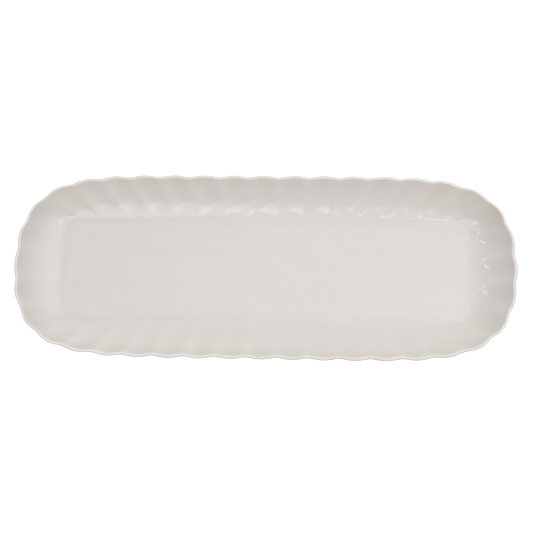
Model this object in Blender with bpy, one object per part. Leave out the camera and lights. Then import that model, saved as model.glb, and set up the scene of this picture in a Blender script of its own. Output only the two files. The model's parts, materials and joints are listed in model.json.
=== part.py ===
"""China serving platter: a long, narrow dish with a scalloped rim, a fluted wall and a flat well.

Two sub-parts make it up: platter_body, the glazed china, and foot_ring, the bare ring that it stands on.
Metres, +Z up. X runs along the platter and Y across it. The origin is the middle of the footprint, on the table.
"""

import bmesh
import bpy
import numpy as np

# Rim. Its length and width are those of the lip's outermost line, midway between lobe and notch.
RIM_LENGTH = 0.3600
RIM_WIDTH = 0.1328
RIM_HEIGHT = 0.0220
RIM_LENGTH_POWER = 6.78  # how square the outline is towards its two ends
RIM_WIDTH_POWER = 2.36  # how full the outline is towards its two long sides
LIP_RADIUS = 0.0014
RIM_SLOPE = np.radians(50.0)  # of the wall just under the lip

# Well, the flat floor that the food lies on.
WELL_LENGTH = 0.2984
WELL_WIDTH = 0.0754
WELL_CORNER_RADIUS = 0.0120
WELL_HEIGHT = 0.0072

# Scallops of the rim, and the flutes that run down the wall from them.
LOBES = 40
SCALLOP_DEPTH = 0.0013  # level, from notch to lobe
FLUTE_DEPTH = 0.0003  # upright, from ridge to channel, half-way up the wall
NOTCH_ROUNDING = 0.28  # 0 would make each notch a sharp V
FLUTE_FAN = 0.03  # how much wider the flutes stand on the well's long sides than their mean

# Foot ring.
FOOT_HEIGHT = 0.0030
FOOT_INSET = 0.0030  # from the well's edge in to the foot's root, seen from above
FOOT_WIDTH = 0.0060
FOOT_CORNER_RADIUS = 0.0140
FOOT_TAPER = 0.0009  # lost from each side between the root and the sole
FOOT_EDGE = 0.0006  # chamfer of the sole's edges
GAP = 0.0003  # between the foot ring and the body

# How finely the outlines and the wall are cut into faces.
POINTS_PER_LOBE = 6
WALL_RINGS = 6
LIP_RINGS = 6
CORNER_POINTS = 12
OUTLINE_POINTS = 4000


def rim_outline():
    """The rim as a closed superellipse, clockwise from the middle of the far long side."""
    turn = np.linspace(0.0, 2.0 * np.pi, OUTLINE_POINTS, endpoint=False)
    across = np.sign(np.cos(turn)) * np.abs(np.cos(turn)) ** (2.0 / RIM_WIDTH_POWER)
    along = np.sign(np.sin(turn)) * np.abs(np.sin(turn)) ** (2.0 / RIM_LENGTH_POWER)
    return np.column_stack([along * RIM_LENGTH / 2.0, across * RIM_WIDTH / 2.0])


def rounded_rectangle(length, width, radius):
    """A closed outline of straight sides and round corners, clockwise from the middle of the far long side."""
    points = [(0.0, width / 2.0)]
    for corner, (side_x, side_y) in enumerate([(1, 1), (1, -1), (-1, -1), (-1, 1)]):
        start = np.pi / 2.0 * (1 - corner)
        for angle in np.linspace(start, start - np.pi / 2.0, CORNER_POINTS):
            x = side_x * (length / 2.0 - radius) + radius * np.cos(angle)
            y = side_y * (width / 2.0 - radius) + radius * np.sin(angle)
            points.append((x, y))
    return np.array(points)


def along_outline(outline, fractions):
    """The points of a closed outline at these fractions of its way round, and the normals out of it there."""
    closed = np.vstack([outline, outline[:1]])
    steps = np.diff(closed, axis=0)
    lengths = np.hypot(steps[:, 0], steps[:, 1])
    travelled = np.concatenate([[0.0], np.cumsum(lengths)])
    wanted = np.mod(fractions, 1.0) * travelled[-1]
    points = np.column_stack([np.interp(wanted, travelled, closed[:, axis]) for axis in (0, 1)])
    segment = np.searchsorted(travelled, wanted, side="right") - 1
    segment = np.clip(segment, 0, len(steps) - 1)
    tangents = steps[segment] / lengths[segment][:, None]
    normals = np.column_stack([-tangents[:, 1], tangents[:, 0]])
    return points, normals


def scallop(fractions):
    """The wave of the scallops round the rim: -1/2 at a notch and +1/2 at the middle of a lobe."""
    rounded = np.hypot(np.cos(np.pi * LOBES * fractions), NOTCH_ROUNDING)
    lowest = NOTCH_ROUNDING
    highest = np.hypot(1.0, NOTCH_ROUNDING)
    return (rounded - lowest) / (highest - lowest) - 0.5


def arc_profile(start, end, end_slope, count):
    """Points (distance out, height) on the circular arc from start to end that has end_slope at its end."""
    run, rise = end[0] - start[0], end[1] - start[1]
    start_slope = 2.0 * np.arctan2(rise, run) - end_slope
    radius = run / (np.sin(end_slope) - np.sin(start_slope))
    slopes = np.linspace(start_slope, end_slope, count)
    out = start[0] + radius * (np.sin(slopes) - np.sin(start_slope))
    up = start[1] + radius * (np.cos(start_slope) - np.cos(slopes))
    return np.column_stack([out, up])


def wall_section():
    """The wall cut across, as points (distance out from the well's edge, height): underside, lip, inside."""
    reach = (RIM_WIDTH - WELL_WIDTH) / 2.0
    centre = np.array([reach - LIP_RADIUS, RIM_HEIGHT - LIP_RADIUS])
    inward = LIP_RADIUS * np.array([-np.sin(RIM_SLOPE), np.cos(RIM_SLOPE)])
    underside = arc_profile((-FOOT_INSET, FOOT_HEIGHT), centre - inward, RIM_SLOPE, WALL_RINGS + 1)
    inside = arc_profile((0.0, WELL_HEIGHT), centre + inward, RIM_SLOPE, WALL_RINGS + 1)
    angles = RIM_SLOPE - np.pi / 2.0 + np.linspace(0.0, np.pi, LIP_RINGS + 1)[1:-1]
    lip = centre + LIP_RADIUS * np.column_stack([np.cos(angles), np.sin(angles)])
    return np.vstack([underside, lip, inside[::-1]]), reach


def body_rings():
    """The body's cross-section carried round it, as closed rings of points from the underside to the well."""
    section, reach = wall_section()
    count = LOBES * POINTS_PER_LOBE
    fractions = np.arange(count) / count
    rim, outward = along_outline(rim_outline(), fractions)
    fanned = fractions + FLUTE_FAN * np.sin(4.0 * np.pi * fractions) / (4.0 * np.pi)
    well_edge = rounded_rectangle(WELL_LENGTH, WELL_WIDTH, WELL_CORNER_RADIUS)
    well, _ = along_outline(well_edge, fanned)
    wave = scallop(fractions)
    rings = []
    for out, up in section:
        share = out / reach
        climb = np.clip(out / (reach - 2.0 * LIP_RADIUS), 0.0, 1.0)
        plan = well + share * (rim - well)
        plan = plan + outward * (SCALLOP_DEPTH * climb * wave)[:, None]
        height = up - FLUTE_DEPTH * 4.0 * climb * (1.0 - climb) * wave
        rings.append(np.column_stack([plan, height]))
    return rings


def foot_rings():
    """The foot's cross-section carried round it, as closed rings of points: outer side down, sole, inner side up."""
    top = FOOT_HEIGHT - GAP
    section = [
        (0.0, top),
        (FOOT_TAPER, FOOT_EDGE),
        (FOOT_TAPER + FOOT_EDGE, 0.0),
        (FOOT_WIDTH - FOOT_TAPER - FOOT_EDGE, 0.0),
        (FOOT_WIDTH - FOOT_TAPER, FOOT_EDGE),
        (FOOT_WIDTH, top),
    ]
    rings = []
    for inset, up in section:
        length = WELL_LENGTH - 2.0 * (FOOT_INSET + inset)
        width = WELL_WIDTH - 2.0 * (FOOT_INSET + inset)
        plan = rounded_rectangle(length, width, FOOT_CORNER_RADIUS - inset)
        rings.append(np.column_stack([plan, np.full(len(plan), up)]))
    return rings


def loft(name, rings, tube, material, collection):
    """A closed solid through rings of equal numbers of points. A tube joins its last ring to its first."""
    shape = bmesh.new()
    rows = [[shape.verts.new(point) for point in ring] for ring in rings]
    pairs = list(zip(rows, rows[1:]))
    if tube:
        pairs.append((rows[-1], rows[0]))
    else:
        shape.faces.new(rows[0])
        shape.faces.new(rows[-1])
    for lower, upper in pairs:
        for here in range(len(lower)):
            after = (here + 1) % len(lower)
            shape.faces.new((lower[here], lower[after], upper[after], upper[here]))
    bmesh.ops.recalc_face_normals(shape, faces=shape.faces)
    mesh = bpy.data.meshes.new(name)
    shape.to_mesh(mesh)
    shape.free()
    mesh.shade_smooth()
    mesh.set_sharp_from_angle(angle=np.radians(30.0))
    mesh.materials.append(material)
    piece = bpy.data.objects.new(name, mesh)
    collection.objects.link(piece)
    return piece


def finish(name, colour, roughness, coat):
    """A non-metallic material with an even colour."""
    material = bpy.data.materials.new(name)
    material.use_nodes = True
    shader = material.node_tree.nodes["Principled BSDF"]
    shader.inputs["Base Color"].default_value = (*colour, 1.0)
    shader.inputs["Metallic"].default_value = 0.0
    shader.inputs["Roughness"].default_value = roughness
    shader.inputs["Coat Weight"].default_value = coat
    return material


def clear_scene():
    for item in list(bpy.data.objects):
        bpy.data.objects.remove(item, do_unlink=True)


def main():
    clear_scene()
    collection = bpy.data.collections.new("serving_platter")
    bpy.context.scene.collection.children.link(collection)
    glaze = finish("white_glaze", (0.83, 0.80, 0.77), 0.12, 0.6)
    bisque = finish("bare_china", (0.78, 0.74, 0.68), 0.75, 0.0)
    loft("platter_body", body_rings(), False, glaze, collection)
    loft("foot_ring", foot_rings(), True, bisque, collection)


main()
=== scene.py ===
"""Looks of the china serving platter.

Fine meshes stand for its glazed body and its bare foot, each with a procedural finish. A plain white studio
holds them, with the camera at the photograph's angle.
"""

import json
import math

import bmesh
import bpy
import numpy as np
from mathutils import Matrix, Quaternion, Vector


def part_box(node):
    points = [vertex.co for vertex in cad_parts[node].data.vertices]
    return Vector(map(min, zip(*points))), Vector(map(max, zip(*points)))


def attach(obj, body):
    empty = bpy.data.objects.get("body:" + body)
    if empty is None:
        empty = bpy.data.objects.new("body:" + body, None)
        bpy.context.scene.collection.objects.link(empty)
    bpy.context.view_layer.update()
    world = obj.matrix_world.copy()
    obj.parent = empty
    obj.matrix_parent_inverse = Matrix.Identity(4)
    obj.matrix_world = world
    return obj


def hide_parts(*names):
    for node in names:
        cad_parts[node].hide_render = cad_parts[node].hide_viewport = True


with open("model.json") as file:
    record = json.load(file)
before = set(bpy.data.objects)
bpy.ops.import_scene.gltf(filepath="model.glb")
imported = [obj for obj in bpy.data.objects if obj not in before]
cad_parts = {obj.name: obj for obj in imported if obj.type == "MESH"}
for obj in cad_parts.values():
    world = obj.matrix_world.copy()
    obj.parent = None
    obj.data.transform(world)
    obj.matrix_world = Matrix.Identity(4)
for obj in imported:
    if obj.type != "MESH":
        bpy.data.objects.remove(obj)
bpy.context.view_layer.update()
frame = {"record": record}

# Shape of the platter, in metres. The rest of it comes from the frame's boxes and mounts.
LOBES = 40
SCALLOP_DEPTH = 0.0013
FLUTE_DEPTH = 0.0003
NOTCH_ROUNDING = 0.28
FLUTE_FAN = 0.03
RIM_LENGTH_POWER = 6.78
RIM_WIDTH_POWER = 2.36
RIM_SLOPE = math.radians(50.0)
LIP_RADIUS = 0.0014
WELL_CORNER_RADIUS = 0.0120
FOOT_INSET = 0.0030
FOOT_WIDTH = 0.0060
FOOT_CORNER_RADIUS = 0.0140
FOOT_TAPER = 0.0009
FOOT_EDGE = 0.0006

body_low, body_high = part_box("platter_body")
foot_low, foot_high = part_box("foot_ring")
mounts = {mount["name"]: mount for mount in frame["record"]["mounts"]}
RIM_LENGTH = body_high.x - body_low.x - SCALLOP_DEPTH
RIM_WIDTH = body_high.y - body_low.y - SCALLOP_DEPTH
RIM_HEIGHT = body_high.z
WELL_LENGTH = foot_high.x - foot_low.x + 2.0 * FOOT_INSET
WELL_WIDTH = foot_high.y - foot_low.y + 2.0 * FOOT_INSET
WELL_HEIGHT = mounts["well_floor"]["pos_m"][2]
RECESS_HEIGHT = body_low.z

# What the fine meshes add to that shape, in metres.
WELL_FILLET = 0.0015  # from the crease round the well, up the wall and in over the floor
WELL_DISH = 0.00025  # how far the middle of the well has sunk in the kiln
RIM_LIFT = 0.00018  # how far the rim rises and falls round its length
LOBE_VARIETY = 0.07  # share by which the lobes differ in depth
GLAZE_COAT = 0.0001
GLAZE_LINE = 0.0011  # height of the glaze's edge on the foot
GLAZE_LINE_WANDER = 0.00016
GLAZE_TAPER = 0.75  # share of the foot's taper that lies above that line
FOOT_FILLET = 0.0012
BAND_TAPER = 0.8  # the same share for the bare band, so that it sits just inside the glaze
BAND_OVERLAP = 0.00002  # how far below the glaze's edge the bare band starts

# How thickly the glaze lies, partly painted light: 0 where it has run thin, 1 where it has pooled.
THIN_GLAZE_AND_LIP_HIGHLIGHT_POOL = 0.0  # at the lip, where it also gives a painted highlight, and at the glaze's edge on the foot
EDGE_POOL = 0.15  # just above that edge, and the least on the wall
RECESS_POOL = 0.45
FILLET_POOL = 0.9
UNDERSIDE_POOL = 0.5
UNDERSIDE_RIM_POOL = 0.15  # less of it towards the rim
UNDERSIDE_FLUTE_POOL = 0.2  # less of it on the lobes, and more between them
WALL_POOL = 0.45
WALL_FOOT_POOL = 0.35  # more of it at the foot of the wall
FLUTE_POOL_AND_PAINTED_SHADE = 0.8  # more in the flutes' channels and less on their ridges: pooled glaze and painted shade
CREASE_POOL = 0.95
WELL_POOL = 0.6
WELL_POOL_WIDTH = 0.12  # how far in from the crease the glaze pools, as a share of the well's half width

# Fineness of the meshes.
POINTS_PER_LOBE = 16
ROUND = LOBES * POINTS_PER_LOBE
WALL_STEPS = 34
LIP_STEPS = 14
FILLET_STEPS = 5  # rings on each side of the crease round the well
CORNER_POINTS = 40
OUTLINE_POINTS = 8000
QUARTER_TURN = np.radians([0.0, 22.5, 45.0, 67.5, 90.0])
RECESS_SHARES = (0.995, 0.8, 0.6, 0.4, 0.2, 0.06, 0.0)
WELL_SHARES = (0.03, 0.06, 0.1, 0.15, 0.2, 0.3, 0.4, 0.5, 0.6, 0.7, 0.8, 0.9, 0.995)

# Colours, as linear red, green, blue and alpha, and how strongly the surfaces bend light.
THIN_GLAZE = (0.870, 0.829, 0.787, 1.0)
POOLED_GLAZE = (0.786, 0.738, 0.692, 1.0)
# Paler glaze on the lip: partly thin glaze, partly a painted highlight along it.
LIP_HIGHLIGHT_AND_THIN_GLAZE = (0.955, 0.930, 0.905, 1.0)
CLOUDED_GLAZE = (0.810, 0.772, 0.735, 1.0)
MOTTLED_GLAZE = (0.775, 0.730, 0.682, 1.0)
# Painted reflection: faint streaks of reflection, drawn out along X, in the glaze's colour.
REFLECTION_STREAK_GLAZE = (0.770, 0.715, 0.662, 1.0)
# Painted shade: the glaze is darkened towards this colour at the left end.
LEFT_END_PAINTED_SHADE = (0.40, 0.37, 0.345, 1.0)
IRON = (0.30, 0.26, 0.21, 1.0)
BARE_DARK = (0.66, 0.61, 0.54, 1.0)
BARE_LIGHT = (0.75, 0.71, 0.65, 1.0)
BARE_CLOUD = (0.62, 0.57, 0.50, 1.0)
RUBBED = (0.42, 0.39, 0.35, 1.0)
PAPER = (0.5, 0.5, 0.5, 1.0)
WHITE = (1.0, 1.0, 1.0, 1.0)
GLAZE_IOR = 1.62
BARE_IOR = 1.45

# The camera, in degrees and metres. Its azimuth is 0 on the near side and runs towards +X.
CAMERA_AZIMUTH = 14.75
CAMERA_ELEVATION = 79.0
CAMERA_ROLL = -13.86
CAMERA_DISTANCE = 0.623
CAMERA_TARGET = (0.00286, -0.00047, 0.0206)
CAMERA_LENS = 58.8  # millimetres, on a sensor 36 mm wide

# The sky's lobes: azimuth and elevation of each in degrees, how sharply it fades, and its radiance.
SKY_LOBES = [
    (0.0, 90.0, 0.0, (0.086, 0.095, 0.121)),
    (0.0, 75.0, 6.0, (1.510, 1.570, 1.615)),
    (90.0, 0.0, 1.0, (0.910, 0.875, 0.800)),
    (270.0, 0.0, 1.0, (0.560, 0.495, 0.420)),
]

# The softboxes: azimuth and elevation in degrees, distance and size in metres, turn in degrees, radiance and
# colour. Here and in the sky, azimuth runs from +X towards +Y.
SOFTBOXES = {
    "window": (220.0, 68.6, 3.0, (1.80, 1.35), -4.3, 0.92, (1.0, 1.0, 1.0)),
    "window_pane": (254.6, 73.4, 2.9, (0.31, 0.44), -15.0, 0.75, (1.0, 1.0, 1.0)),
    "window_frame": (307.9, 76.8, 2.9, (0.06, 0.87), -38.0, 1.90, (1.0, 1.0, 1.0)),
    "corner_glint": (343.3, 77.9, 2.9, (0.20, 0.20), 0.0, 3.60, (1.0, 1.0, 1.0)),
    "corner_window": (206.0, 62.9, 3.0, (0.36, 0.75), 0.0, 2.00, (1.0, 0.94, 0.92)),
    "right_glint": (167.5, 62.6, 2.9, (0.16, 0.44), 0.0, 2.40, (0.88, 1.0, 0.98)),
}
FLOOR_SIZE = 4.0


def rim_outline():
    """The rim as a closed superellipse, clockwise from the middle of the far long side."""
    turn = np.linspace(0.0, 2.0 * np.pi, OUTLINE_POINTS, endpoint=False)
    across = np.sign(np.cos(turn)) * np.abs(np.cos(turn)) ** (2.0 / RIM_WIDTH_POWER)
    along = np.sign(np.sin(turn)) * np.abs(np.sin(turn)) ** (2.0 / RIM_LENGTH_POWER)
    return np.column_stack([along * RIM_LENGTH / 2.0, across * RIM_WIDTH / 2.0])


def rounded_rectangle(length, width, radius):
    """A closed outline of straight sides and round corners, clockwise from the middle of the far long side."""
    points = [(0.0, width / 2.0)]
    for corner, (side_x, side_y) in enumerate([(1, 1), (1, -1), (-1, -1), (-1, 1)]):
        start = math.pi / 2.0 * (1 - corner)
        for angle in np.linspace(start, start - math.pi / 2.0, CORNER_POINTS):
            x = side_x * (length / 2.0 - radius) + radius * math.cos(angle)
            y = side_y * (width / 2.0 - radius) + radius * math.sin(angle)
            points.append((x, y))
    return np.array(points)


def along_outline(outline, fractions):
    """The points of a closed outline at these fractions of its way round, and the normals out of it there."""
    closed = np.vstack([outline, outline[:1]])
    steps = np.diff(closed, axis=0)
    lengths = np.hypot(steps[:, 0], steps[:, 1])
    travelled = np.concatenate([[0.0], np.cumsum(lengths)])
    wanted = np.mod(fractions, 1.0) * travelled[-1]
    points = np.column_stack([np.interp(wanted, travelled, closed[:, axis]) for axis in (0, 1)])
    segment = np.clip(np.searchsorted(travelled, wanted, side="right") - 1, 0, len(steps) - 1)
    tangents = steps[segment] / lengths[segment][:, None]
    return points, np.column_stack([-tangents[:, 1], tangents[:, 0]])


def scallop(fractions):
    """The wave of the scallops round the rim: -1/2 at a notch and +1/2 at the middle of a lobe."""
    rounded = np.hypot(np.cos(np.pi * LOBES * fractions), NOTCH_ROUNDING)
    highest = math.hypot(1.0, NOTCH_ROUNDING)
    return (rounded - NOTCH_ROUNDING) / (highest - NOTCH_ROUNDING) - 0.5


def wander(fractions, waves, phase):
    """A smooth closed wave round the platter: the mean of sines of different lengths, within -1 and +1."""
    parts = [np.sin(2.0 * np.pi * (wave * fractions + phase * (place + 1))) for place, wave in enumerate(waves)]
    return sum(parts) / len(parts)


def arc_profile(start, end, end_slope, count):
    """Points (distance out, height) on the circular arc from start to end that has end_slope at its end."""
    run, rise = end[0] - start[0], end[1] - start[1]
    start_slope = 2.0 * math.atan2(rise, run) - end_slope
    radius = run / (math.sin(end_slope) - math.sin(start_slope))
    slopes = np.linspace(start_slope, end_slope, count)
    out = start[0] + radius * (np.sin(slopes) - math.sin(start_slope))
    up = start[1] + radius * (math.cos(start_slope) - np.cos(slopes))
    return np.column_stack([out, up])


# The curves that every ring is drawn from. The counts and phases of the wandering waves stand in for chance.
FRACTIONS = np.arange(ROUND) / ROUND
FANNED = FRACTIONS + FLUTE_FAN * np.sin(4.0 * np.pi * FRACTIONS) / (4.0 * np.pi)
RIM, OUTWARD = along_outline(rim_outline(), FRACTIONS)
WELL, _ = along_outline(rounded_rectangle(WELL_LENGTH, WELL_WIDTH, WELL_CORNER_RADIUS), FANNED)
WAVE = scallop(FRACTIONS) * (1.0 + LOBE_VARIETY * wander(FRACTIONS, (7, 12, 17), 0.31))
LIFT = RIM_LIFT * wander(FRACTIONS, (2, 3, 5), 0.17)
OUTER_LINE = GLAZE_LINE + GLAZE_LINE_WANDER * wander(FRACTIONS, (3, 8, 19, 31), 0.43)
INNER_LINE = GLAZE_LINE + GLAZE_LINE_WANDER * wander(FRACTIONS, (4, 9, 14, 27), 0.71)
REACH = (RIM_WIDTH - WELL_WIDTH) / 2.0
LIP_CENTRE = np.array([REACH - LIP_RADIUS, RIM_HEIGHT - LIP_RADIUS])
LIP_INWARD = LIP_RADIUS * np.array([-math.sin(RIM_SLOPE), math.cos(RIM_SLOPE)])


def wall_ring(start, base_out, out, up):
    """One ring of the fluted wall: from the plan curve start, at distance base_out, towards the rim."""
    share = (out - base_out) / (REACH - base_out)
    climb = np.clip(out / (REACH - 2.0 * LIP_RADIUS), 0.0, 1.0)
    plan = start + share * (RIM - start) + OUTWARD * (SCALLOP_DEPTH * climb * WAVE)[:, None]
    height = up - FLUTE_DEPTH * 4.0 * climb * (1.0 - climb) * WAVE + LIFT * climb**2
    return np.column_stack([plan, height])


def shrunk(plan, share, half_length, half_width):
    """A plan curve drawn in towards the middle line of its rectangle, which it reaches at share 1."""
    middle = np.zeros_like(plan)
    middle[:, 0] = np.clip(plan[:, 0], half_width - half_length, half_length - half_width)
    return plan + share * (middle - plan)


def level(plan, up):
    return np.column_stack([plan, np.broadcast_to(up, len(plan))])


def foot_curve(inset):
    """A rounded rectangle inset from the well's edge, round which the foot runs."""
    length = WELL_LENGTH - 2.0 * inset
    width = WELL_WIDTH - 2.0 * inset
    radius = FOOT_CORNER_RADIUS - (inset - FOOT_INSET)
    return along_outline(rounded_rectangle(length, width, radius), FANNED)[0]


def recess_rings():
    """Underneath, from the middle of the recess out to the glaze's edge on the foot's inner side.

    A ring is its points and how thickly the glaze lies on them.
    """
    inner_root = FOOT_INSET + FOOT_WIDTH
    recess = foot_curve(inner_root + FOOT_FILLET)
    half = (WELL_LENGTH / 2.0 - inner_root, WELL_WIDTH / 2.0 - inner_root)
    rings = []
    for share in RECESS_SHARES:
        rings.append((level(shrunk(recess, share, *half), RECESS_HEIGHT), RECESS_POOL))
    for angle in QUARTER_TURN[1:]:
        inset = inner_root + FOOT_FILLET * (1.0 - math.sin(angle))
        up = RECESS_HEIGHT - FOOT_FILLET * (1.0 - math.cos(angle))
        rings.append((level(foot_curve(inset), up), FILLET_POOL))
    side = inner_root - FOOT_TAPER * GLAZE_TAPER
    rings.append((level(foot_curve(side), INNER_LINE + GLAZE_COAT), EDGE_POOL))
    rings.append((level(foot_curve(side - GLAZE_COAT), INNER_LINE), THIN_GLAZE_AND_LIP_HIGHLIGHT_POOL))
    return rings


def underside_rings():
    """From the glaze's edge on the foot's outer side, up the foot and out under the wall to the lip."""
    side = FOOT_INSET + FOOT_TAPER * GLAZE_TAPER
    rings = [
        (level(foot_curve(side + GLAZE_COAT), OUTER_LINE), THIN_GLAZE_AND_LIP_HIGHLIGHT_POOL),
        (level(foot_curve(side), OUTER_LINE + GLAZE_COAT), EDGE_POOL),
    ]
    for angle in QUARTER_TURN[:-1]:
        inset = FOOT_INSET - FOOT_FILLET * (1.0 - math.cos(angle))
        up = RECESS_HEIGHT - FOOT_FILLET * (1.0 - math.sin(angle)) + GLAZE_COAT
        rings.append((level(foot_curve(inset), up), FILLET_POOL))
    root = foot_curve(FOOT_INSET)
    section = arc_profile((-FOOT_INSET, RECESS_HEIGHT), LIP_CENTRE - LIP_INWARD, RIM_SLOPE, WALL_STEPS + 1)
    for out, up in section[section[:, 0] > -FOOT_INSET + FOOT_FILLET]:
        climb = max(out, 0.0) / REACH
        pool = UNDERSIDE_POOL - UNDERSIDE_RIM_POOL * climb - UNDERSIDE_FLUTE_POOL * climb * WAVE
        rings.append((wall_ring(root, -FOOT_INSET, out, up), pool))
    return rings


def lip_rings():
    """Round the lip, from its underside over its outermost line to its inside."""
    rings = []
    for angle in RIM_SLOPE - math.pi / 2.0 + np.linspace(0.0, math.pi, LIP_STEPS + 1)[1:-1]:
        out, up = LIP_CENTRE + LIP_RADIUS * np.array([math.cos(angle), math.sin(angle)])
        # The lip's lowest pool value also paints a highlight along it.
        rings.append((wall_ring(WELL, 0.0, out, up), THIN_GLAZE_AND_LIP_HIGHLIGHT_POOL))
    return rings


def wall_rings(section):
    """Down the inside of the wall, with glaze pooled towards its foot, and pooled glaze and painted shade in
    its channels.
    """
    rings = []
    for out, up in section[section[:, 0] > WELL_FILLET][::-1]:
        climb = out / REACH
        # The flute term darkens the channels and pales the ridges: partly pooled glaze, partly painted shade.
        pool = WALL_POOL + WALL_FOOT_POOL * (1.0 - climb) ** 2 + FLUTE_POOL_AND_PAINTED_SHADE * climb * WAVE
        rings.append((wall_ring(WELL, 0.0, out, up), np.maximum(pool, EDGE_POOL)))
    return rings


def well_rings(section):
    """Over the soft crease round the well and in to the middle of its slightly dished floor."""
    half = (WELL_LENGTH / 2.0, WELL_WIDTH / 2.0)
    rise = np.interp(WELL_FILLET, section[:, 0], section[:, 1]) - WELL_HEIGHT
    edge = WELL_FILLET / half[1]
    rings = []
    for step in np.linspace(1.0, 0.0, FILLET_STEPS + 1)[:-1]:
        up = WELL_HEIGHT + rise * ((step + 1.0) / 2.0) ** 2
        rings.append((wall_ring(WELL, 0.0, WELL_FILLET * step, up), CREASE_POOL))
    for step in np.linspace(0.0, -1.0, FILLET_STEPS + 1):
        up = WELL_HEIGHT + rise * ((step + 1.0) / 2.0) ** 2
        rings.append((level(shrunk(WELL, -step * edge, *half), up), CREASE_POOL))
    for inward in WELL_SHARES:
        plan = shrunk(WELL, edge + (1.0 - edge) * inward, *half)
        sunk = WELL_DISH * inward**2 * (3.0 - 2.0 * inward)
        pool = WELL_POOL + (CREASE_POOL - WELL_POOL) * max(0.0, 1.0 - inward / WELL_POOL_WIDTH)
        rings.append((level(plan, WELL_HEIGHT - sunk), pool))
    return rings


def body_rings():
    """The glazed body's rings, from the middle of the recess, round the lip, to the middle of the well."""
    section = arc_profile((0.0, WELL_HEIGHT), LIP_CENTRE + LIP_INWARD, RIM_SLOPE, WALL_STEPS + 1)
    return recess_rings() + underside_rings() + lip_rings() + wall_rings(section) + well_rings(section)


def foot_band_rings():
    """The bare band at the foot's sole, from the glaze's edge on one side round to that on the other.

    A ring is its points and how much of them lies on the table.
    """
    outer = FOOT_INSET + FOOT_TAPER * BAND_TAPER
    inner = FOOT_INSET + FOOT_WIDTH - FOOT_TAPER * BAND_TAPER
    rings = [(level(foot_curve(outer), OUTER_LINE - BAND_OVERLAP), 0.0)]
    for angle in QUARTER_TURN:
        inset = outer + GLAZE_COAT + FOOT_EDGE * (1.0 - math.cos(angle))
        rings.append((level(foot_curve(inset), FOOT_EDGE * (1.0 - math.sin(angle))), math.sin(angle) ** 2))
    rings.append((level(foot_curve((outer + inner) / 2.0), 0.0), 1.0))
    for angle in QUARTER_TURN[::-1]:
        inset = inner - GLAZE_COAT - FOOT_EDGE * (1.0 - math.cos(angle))
        rings.append((level(foot_curve(inset), FOOT_EDGE * (1.0 - math.sin(angle))), math.sin(angle) ** 2))
    rings.append((level(foot_curve(inner), INNER_LINE - BAND_OVERLAP), 0.0))
    return rings


def loft(name, rings, tube, material, attribute):
    """A closed mesh through rings of equal numbers of points, each ring with its values of an attribute."""
    shape = bmesh.new()
    rows = [[shape.verts.new(point) for point in ring] for ring, _ in rings]
    pairs = list(zip(rows, rows[1:]))
    if tube:
        pairs.append((rows[-1], rows[0]))
    else:
        shape.faces.new(rows[0])
        shape.faces.new(rows[-1])
    for lower, upper in pairs:
        for here in range(len(lower)):
            after = (here + 1) % len(lower)
            shape.faces.new((lower[here], lower[after], upper[after], upper[here]))
    bmesh.ops.recalc_face_normals(shape, faces=shape.faces)
    mesh = bpy.data.meshes.new(name)
    shape.to_mesh(mesh)
    shape.free()
    values = np.concatenate([np.broadcast_to(value, ROUND) for _, value in rings])
    layer = mesh.attributes.new(attribute, "FLOAT", "POINT")
    layer.data.foreach_set("value", values.astype(np.float32))
    mesh.shade_smooth()
    mesh.materials.append(material)
    piece = bpy.data.objects.new(name, mesh)
    bpy.context.scene.collection.objects.link(piece)
    return piece


class Tree:
    """A material's nodes, added one after another and joined as they are added."""

    def __init__(self, name):
        self.material = bpy.data.materials.new(name)
        self.material.use_nodes = True
        self.nodes = self.material.node_tree.nodes
        self.links = self.material.node_tree.links
        self.shader = self.nodes["Principled BSDF"]

    def put(self, socket, value):
        """Joins a socket to another one, or gives it a value of its own."""
        if isinstance(value, bpy.types.NodeSocket):
            self.links.new(value, socket)
        else:
            socket.default_value = value

    def add(self, kind, inputs, **settings):
        node = self.nodes.new(kind)
        for key, value in settings.items():
            setattr(node, key, value)
        for key, value in inputs.items():
            self.put(node.inputs[key], value)
        return node

    def place(self):
        return self.add("ShaderNodeTexCoord", {}).outputs["Object"]

    def attribute(self, name):
        return self.add("ShaderNodeAttribute", {}, attribute_name=name).outputs["Fac"]

    def noise(self, place, size, detail, roughness=0.5):
        """Noise with features of about this size, in metres, as a factor round 1/2."""
        inputs = {"Vector": place, "Scale": 1.0 / size, "Detail": detail, "Roughness": roughness}
        return self.add("ShaderNodeTexNoise", inputs).outputs["Fac"]

    def remap(self, value, source, target):
        """A value carried from one span to another, and held within it."""
        inputs = {"Value": value, "From Min": source[0], "From Max": source[1]}
        inputs |= {"To Min": target[0], "To Max": target[1]}
        return self.add("ShaderNodeMapRange", inputs, clamp=True).outputs["Result"]

    def mix(self, factor, first, second):
        return self.add("ShaderNodeMix", {0: factor, 6: first, 7: second}, data_type="RGBA").outputs[2]

    def math(self, operation, first, second):
        return self.add("ShaderNodeMath", {0: first, 1: second}, operation=operation).outputs["Value"]

    def bump(self, height, depth, **under):
        """A bump of this depth, in metres, over an earlier one where under holds its normal."""
        inputs = {"Height": height, "Distance": depth} | under
        return self.add("ShaderNodeBump", inputs).outputs["Normal"]


def specks(tree, place):
    """Iron specks: dots up to a millimetre wide in a few of the cells of a coarse Voronoi pattern."""
    cell = 0.022
    widest_radius = 0.0005
    rarity = 0.95
    strength = 0.4
    shift = (-0.080, 0.0102, 0.0)
    shifted = tree.add("ShaderNodeMapping", {"Vector": place, "Location": shift}).outputs["Vector"]
    inputs = {"Vector": shifted, "Scale": 1.0 / cell}
    cells = tree.add("ShaderNodeTexVoronoi", inputs, voronoi_dimensions="2D")
    chance = tree.add("ShaderNodeSeparateColor", {0: cells.outputs["Color"]}).outputs[0]
    radius = tree.remap(chance, (rarity, 1.0), (0.0, widest_radius / cell))
    return tree.math("MULTIPLY", tree.math("LESS_THAN", cells.outputs["Distance"], radius), strength)


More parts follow.
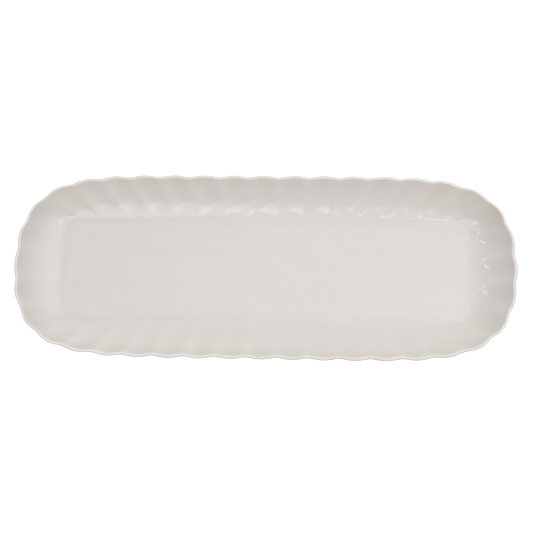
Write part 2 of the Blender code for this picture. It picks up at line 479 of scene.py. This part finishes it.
def glaze_material():
    """Clear glaze over white china: greyer where it has pooled, paler where it has run thin, with painted
    light: shade in the flutes and at the left end, a highlight on the lip, and reflection streaks.
    """
    tree = Tree("white_glaze")
    place = tree.place()
    cloud = tree.noise(place, 0.045, 2.0)
    mottle = tree.noise(place, 0.006, 3.0)
    # Painted reflection: noise drawn out along X, for faint streaks of reflection in the colour.
    drawn = tree.add("ShaderNodeMapping", {"Vector": place, "Scale": (0.06, 1.0, 1.0)}).outputs["Vector"]
    reflection_streak = tree.noise(drawn, 0.007, 3.0)
    smear = tree.noise(place, 0.030, 4.0, 0.6)
    along = tree.add("ShaderNodeSeparateXYZ", {"Vector": place}).outputs["X"]
    pool = tree.attribute("pool")
    # The pool carries painted shade in the flutes' channels as well as pooled glaze.
    colour = tree.mix(pool, THIN_GLAZE, POOLED_GLAZE)
    # Painted highlight: where the pool is lowest, the lip is paler; at the glaze's edge on the foot this is
    # thin glaze.
    colour = tree.mix(tree.remap(pool, (0.0, 0.1), (0.8, 0.0)), colour, LIP_HIGHLIGHT_AND_THIN_GLAZE)
    colour = tree.mix(tree.remap(cloud, (0.3, 0.7), (0.0, 0.5)), colour, CLOUDED_GLAZE)
    colour = tree.mix(tree.remap(mottle, (0.35, 0.7), (0.0, 0.22)), colour, MOTTLED_GLAZE)
    # Painted reflection: faint streaks mixed into the colour.
    colour = tree.mix(tree.remap(reflection_streak, (0.45, 0.7), (0.0, 0.25)), colour, REFLECTION_STREAK_GLAZE)
    # Painted shade: up to 6% darker towards the left end.
    colour = tree.mix(tree.remap(along, (-0.14, -0.02), (0.06, 0.0)), colour, LEFT_END_PAINTED_SHADE)
    colour = tree.mix(specks(tree, place), colour, IRON)
    swell = tree.bump(tree.noise(place, 0.014, 1.0), 0.00006)
    peel = tree.bump(tree.noise(place, 0.0032, 1.0), 0.000006, Normal=swell)
    tree.put(tree.shader.inputs["Base Color"], colour)
    tree.put(tree.shader.inputs["Roughness"], tree.remap(smear, (0.3, 0.75), (0.02, 0.06)))
    tree.put(tree.shader.inputs["Normal"], peel)
    tree.put(tree.shader.inputs["IOR"], GLAZE_IOR)
    return tree.material


def bare_material():
    """Unglazed china: matt, finely grained, and greyed along the sole where it has rubbed on tables."""
    tree = Tree("bare_china")
    place = tree.place()
    grain = tree.noise(place, 0.0007, 4.0, 0.7)
    cloud = tree.noise(place, 0.011, 3.0)
    marks = tree.noise(place, 0.0045, 5.0, 0.65)
    rub = tree.math("MULTIPLY", tree.remap(marks, (0.46, 0.68), (0.0, 0.7)), tree.attribute("sole"))
    colour = tree.mix(tree.remap(grain, (0.3, 0.7), (0.0, 1.0)), BARE_DARK, BARE_LIGHT)
    colour = tree.mix(tree.remap(cloud, (0.4, 0.7), (0.0, 0.5)), colour, BARE_CLOUD)
    colour = tree.mix(rub, colour, RUBBED)
    tree.put(tree.shader.inputs["Base Color"], colour)
    tree.put(tree.shader.inputs["Roughness"], tree.remap(rub, (0.0, 0.7), (0.88, 0.62)))
    tree.put(tree.shader.inputs["Normal"], tree.bump(grain, 0.00012))
    tree.put(tree.shader.inputs["IOR"], BARE_IOR)
    return tree.material


def camera():
    """The camera above the near side, a little to the right, turned so that the platter lies level."""
    azimuth, elevation, roll = np.radians((CAMERA_AZIMUTH, CAMERA_ELEVATION, CAMERA_ROLL)).tolist()
    low = math.cos(elevation)
    back = Vector((math.sin(azimuth) * low, -math.cos(azimuth) * low, math.sin(elevation)))
    right = Vector((math.cos(azimuth), math.sin(azimuth), 0.0))
    up = back.cross(right)
    turned_right = math.cos(roll) * right + math.sin(roll) * up
    turned_up = math.cos(roll) * up - math.sin(roll) * right
    data = bpy.data.cameras.new("camera")
    data.sensor_width = 36.0
    data.lens = CAMERA_LENS
    eye = bpy.data.objects.new("camera", data)
    place = Matrix.Identity(4)
    position = Vector(CAMERA_TARGET) + back * CAMERA_DISTANCE
    for column, axis in enumerate((turned_right, turned_up, back, position)):
        for row in range(3):
            place[row][column] = axis[row]
    eye.matrix_world = place
    bpy.context.scene.collection.objects.link(eye)
    bpy.context.scene.camera = eye


def direction(azimuth, elevation):
    """A direction out from the platter. Azimuth runs from +X towards +Y, in degrees."""
    turn, climb = math.radians(azimuth), math.radians(elevation)
    return Vector((math.cos(turn) * math.cos(climb), math.sin(turn) * math.cos(climb), math.sin(climb)))


def softbox(name, azimuth, elevation, distance, size, turn, radiance, colour):
    """A rectangular area light that faces the platter, turned about the line to it. Angles are in degrees."""
    data = bpy.data.lights.new(name, "AREA")
    data.shape = "RECTANGLE"
    data.size, data.size_y = size
    data.energy = radiance * math.pi * size[0] * size[1]
    data.color = colour
    towards = direction(azimuth, elevation)
    light = bpy.data.objects.new(name, data)
    facing = towards.to_track_quat("Z", "Y") @ Quaternion((0.0, 0.0, 1.0), math.radians(turn))
    light.matrix_world = Matrix.Translation(towards * distance) @ facing.to_matrix().to_4x4()
    bpy.context.scene.collection.objects.link(light)


def sky(lobes):
    """Soft light from all round, the sum of lobes that fade away from one direction. The camera sees white."""
    world = bpy.data.worlds.new("studio")
    world.use_nodes = True
    nodes, links = world.node_tree.nodes, world.node_tree.links
    place = nodes.new("ShaderNodeTexCoord").outputs["Generated"]
    total = None
    for azimuth, elevation, sharpness, colour in lobes:
        facing = nodes.new("ShaderNodeVectorMath")
        facing.operation = "DOT_PRODUCT"
        facing.inputs[1].default_value = direction(azimuth, elevation)
        links.new(place, facing.inputs[0])
        ahead = nodes.new("ShaderNodeMath")
        ahead.operation = "MAXIMUM"
        links.new(facing.outputs["Value"], ahead.inputs[0])
        ahead.inputs[1].default_value = 0.0
        fading = nodes.new("ShaderNodeMath")
        fading.operation = "POWER"
        links.new(ahead.outputs["Value"], fading.inputs[0])
        fading.inputs[1].default_value = sharpness
        lobe = nodes.new("ShaderNodeBackground")
        lobe.inputs["Color"].default_value = (*colour, 1.0)
        links.new(fading.outputs["Value"], lobe.inputs["Strength"])
        if total is None:
            total = lobe.outputs[0]
        else:
            both = nodes.new("ShaderNodeAddShader")
            links.new(total, both.inputs[0])
            links.new(lobe.outputs[0], both.inputs[1])
            total = both.outputs[0]
    plain = nodes.new("ShaderNodeBackground")
    plain.inputs["Color"].default_value = WHITE
    seen = nodes.new("ShaderNodeLightPath").outputs["Is Camera Ray"]
    backdrop = nodes.new("ShaderNodeMixShader")
    for socket, source in zip(backdrop.inputs, (seen, total, plain.outputs[0])):
        links.new(source, socket)
    links.new(backdrop.outputs[0], nodes["World Output"].inputs["Surface"])
    bpy.context.scene.world = world


def paper_floor():
    """A grey table top that glows white towards the camera, as a table lit from below does."""
    bpy.ops.mesh.primitive_plane_add(size=FLOOR_SIZE)
    floor = bpy.context.object
    floor.name = "floor"
    tree = Tree("paper")
    seen = tree.add("ShaderNodeLightPath", {}).outputs["Is Camera Ray"]
    tree.put(tree.shader.inputs["Base Color"], PAPER)
    tree.put(tree.shader.inputs["Roughness"], 1.0)
    tree.put(tree.shader.inputs["Emission Color"], WHITE)
    tree.put(tree.shader.inputs["Emission Strength"], seen)
    floor.data.materials.append(tree.material)


def studio():
    """A white room lit from overhead, with a window on the left and the glints of its panes and frame."""
    sky(SKY_LOBES)
    for name, settings in SOFTBOXES.items():
        softbox(name, *settings)
    bpy.context.scene.view_settings.view_transform = "Standard"


body = loft("glazed_body", body_rings(), False, glaze_material(), "pool")
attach(body, "root")
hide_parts("platter_body")
foot = loft("bare_foot", foot_band_rings(), True, bare_material(), "sole")
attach(foot, "root")
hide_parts("foot_ring")
paper_floor()
studio()
camera()
